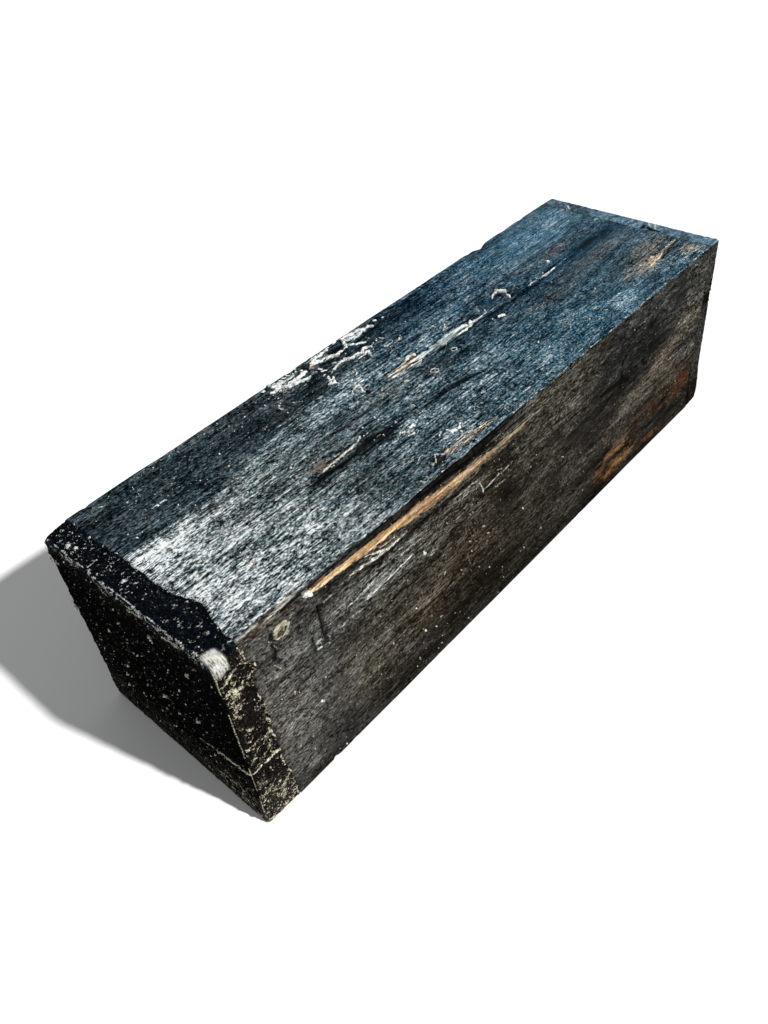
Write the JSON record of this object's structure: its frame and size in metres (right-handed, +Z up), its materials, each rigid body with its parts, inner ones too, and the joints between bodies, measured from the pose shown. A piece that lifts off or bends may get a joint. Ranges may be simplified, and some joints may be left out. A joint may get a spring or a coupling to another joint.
{
  "type": "ebony block",
  "caption": "Rough square billet of black ebony, ten units long by three square, with a black wax seal lapped over each end.",
  "frame": {"origin": "middle of the underside, on the surface that the block rests on", "axes": "+Z up, +Y along the length towards the far end, +X out of the right face"},
  "size_m": [0.076, 0.2536, 0.0743],
  "materials": {
    "ebony": "rough-sawn, weathered blue-grey to black, with tan sapwood streaks",
    "end_seal": "matt black brushed wax with pale crumbs"
  },
  "bodies": {
    "root": {"wood_block": "ebony", "end_seal_front": "end_seal", "end_seal_rear": "end_seal"}
  },
  "joints": []
}
